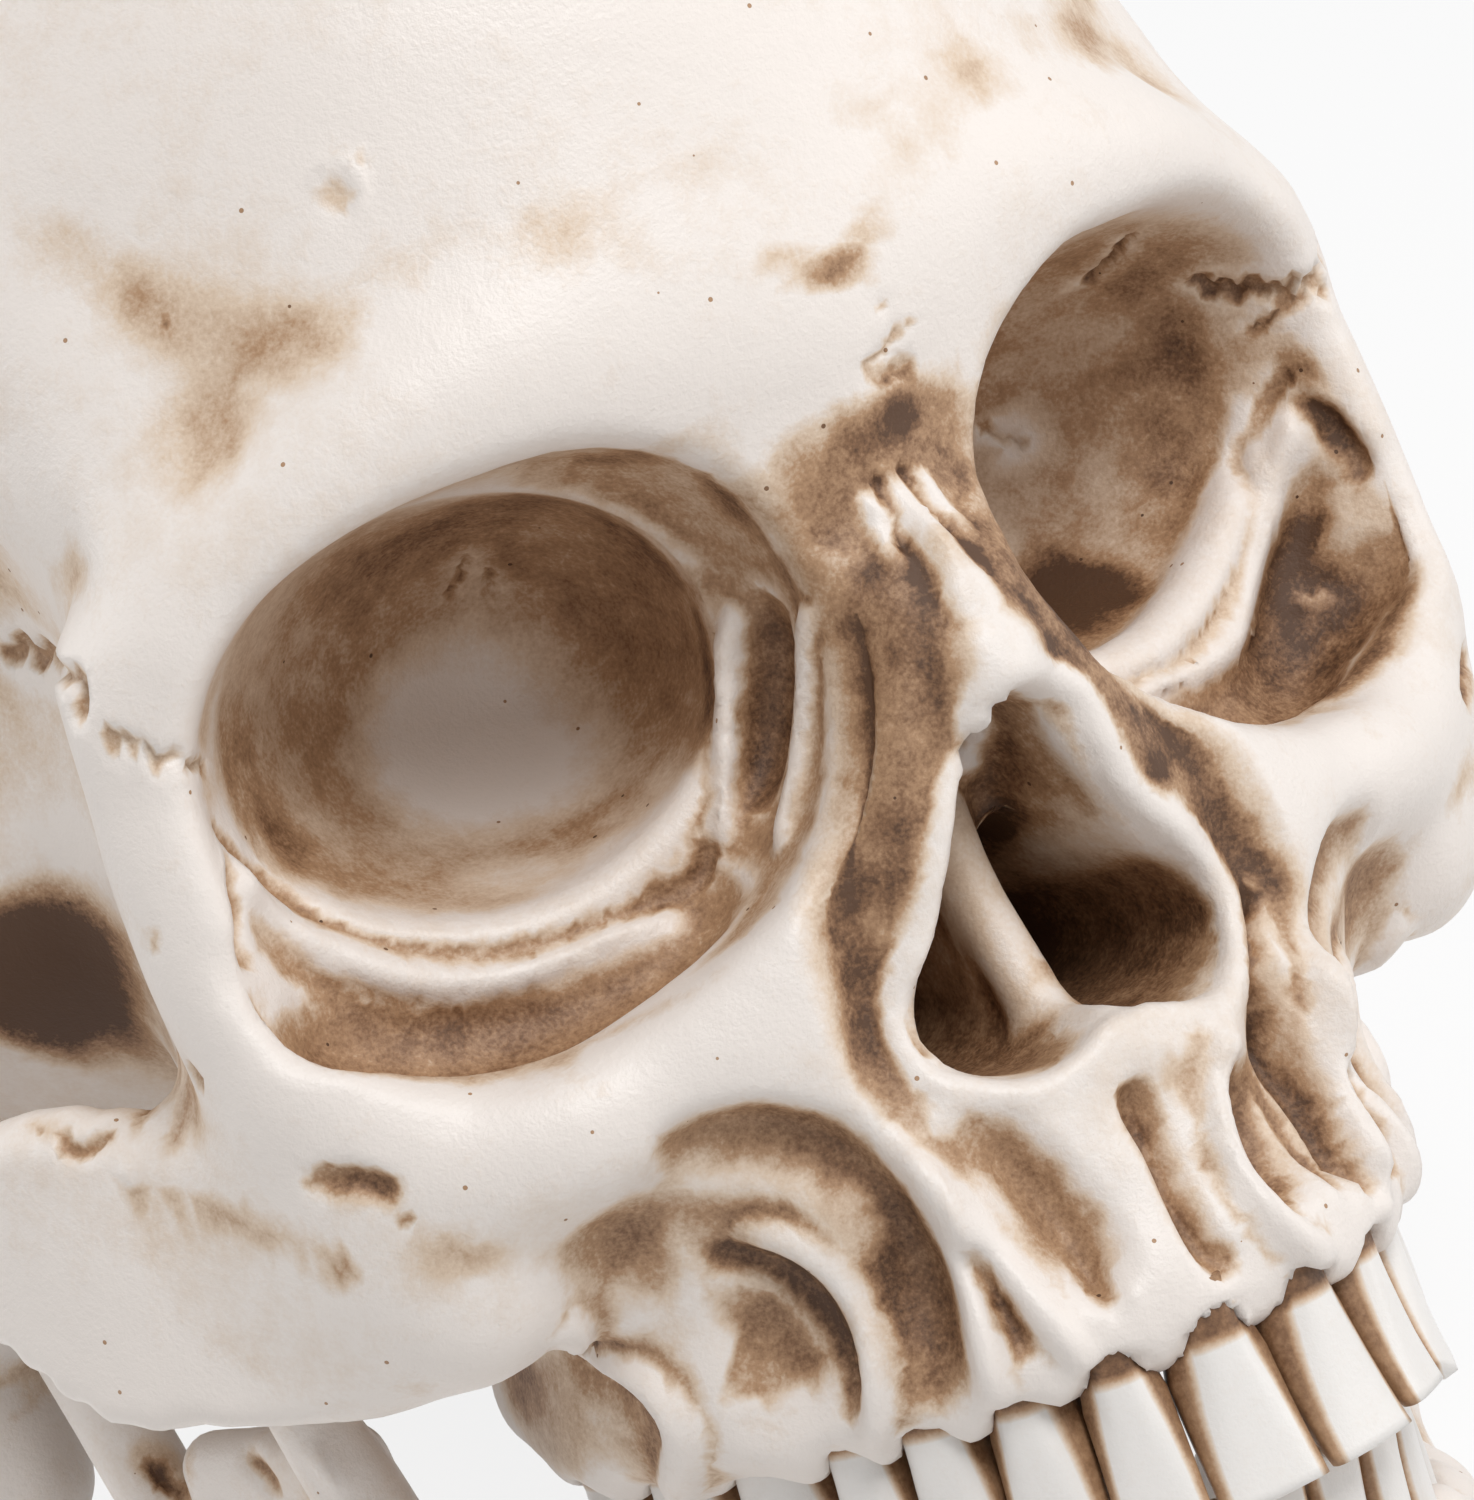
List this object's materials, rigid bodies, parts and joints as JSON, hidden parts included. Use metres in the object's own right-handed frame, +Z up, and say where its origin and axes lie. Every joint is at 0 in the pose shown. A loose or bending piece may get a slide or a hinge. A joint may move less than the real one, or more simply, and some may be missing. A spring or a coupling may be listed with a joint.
{
  "type": "anatomical skull model",
  "caption": "Life-size adult skull for teaching: hinged lower jaw on two pivots, separately set teeth and a lift-off skullcap seated by magnets and dowels.",
  "frame": {"origin": "centre of the bounding box's bottom, on the table that the skull rests on", "axes": "+Z up; -Y is the way the face looks, leant back at rest; +X is the subject's left"},
  "size_m": [0.1396, 0.2338, 0.1757],
  "materials": {
    "resin": "satin ivory cast resin with a brown wash in its hollows",
    "enamel": "smooth off-white cast resin, slightly glossier than the bone",
    "steel": "plain bright metal"
  },
  "bodies": {
    "cranium": {"cranium_base": "resin", "upper_right_central_incisor": "enamel", "upper_right_lateral_incisor": "enamel", "upper_right_canine": "enamel", "upper_right_first_premolar": "enamel", "upper_right_second_premolar": "enamel", "upper_right_first_molar": "enamel", "upper_right_second_molar": "enamel", "upper_right_third_molar": "enamel", "upper_left_central_incisor": "enamel", "upper_left_lateral_incisor": "enamel", "upper_left_canine": "enamel", "upper_left_first_premolar": "enamel", "upper_left_second_premolar": "enamel", "upper_left_first_molar": "enamel", "upper_left_second_molar": "enamel", "upper_left_third_molar": "enamel", "cranium_magnet_front": "steel", "cranium_magnet_right": "steel", "cranium_magnet_left": "steel", "locating_dowel_right": "steel", "locating_dowel_left": "steel", "jaw_pivot_right": "steel", "jaw_pivot_left": "steel"},
    "jaw": {"mandible": "resin", "lower_right_central_incisor": "enamel", "lower_right_lateral_incisor": "enamel", "lower_right_canine": "enamel", "lower_right_first_premolar": "enamel", "lower_right_second_premolar": "enamel", "lower_right_first_molar": "enamel", "lower_right_second_molar": "enamel", "lower_right_third_molar": "enamel", "lower_left_central_incisor": "enamel", "lower_left_lateral_incisor": "enamel", "lower_left_canine": "enamel", "lower_left_first_premolar": "enamel", "lower_left_second_premolar": "enamel", "lower_left_first_molar": "enamel", "lower_left_second_molar": "enamel", "lower_left_third_molar": "enamel"},
    "cap": {"calvarium": "resin", "calvarium_magnet_front": "steel", "calvarium_magnet_right": "steel", "calvarium_magnet_left": "steel"}
  },
  "joints": [
    {"name": "jaw_hinge", "type": "hinge", "parent": "cranium", "child": "jaw", "pos_m": [0, -0.0066, 0.04481], "axis": [1, 0, 0], "range_deg": [0, 22]},
    {"name": "calvarium_lift", "type": "slide", "parent": "cranium", "child": "cap", "axis": [0, 0.4483, 0.8939], "range_m": [0, 0.06]}
  ]
}
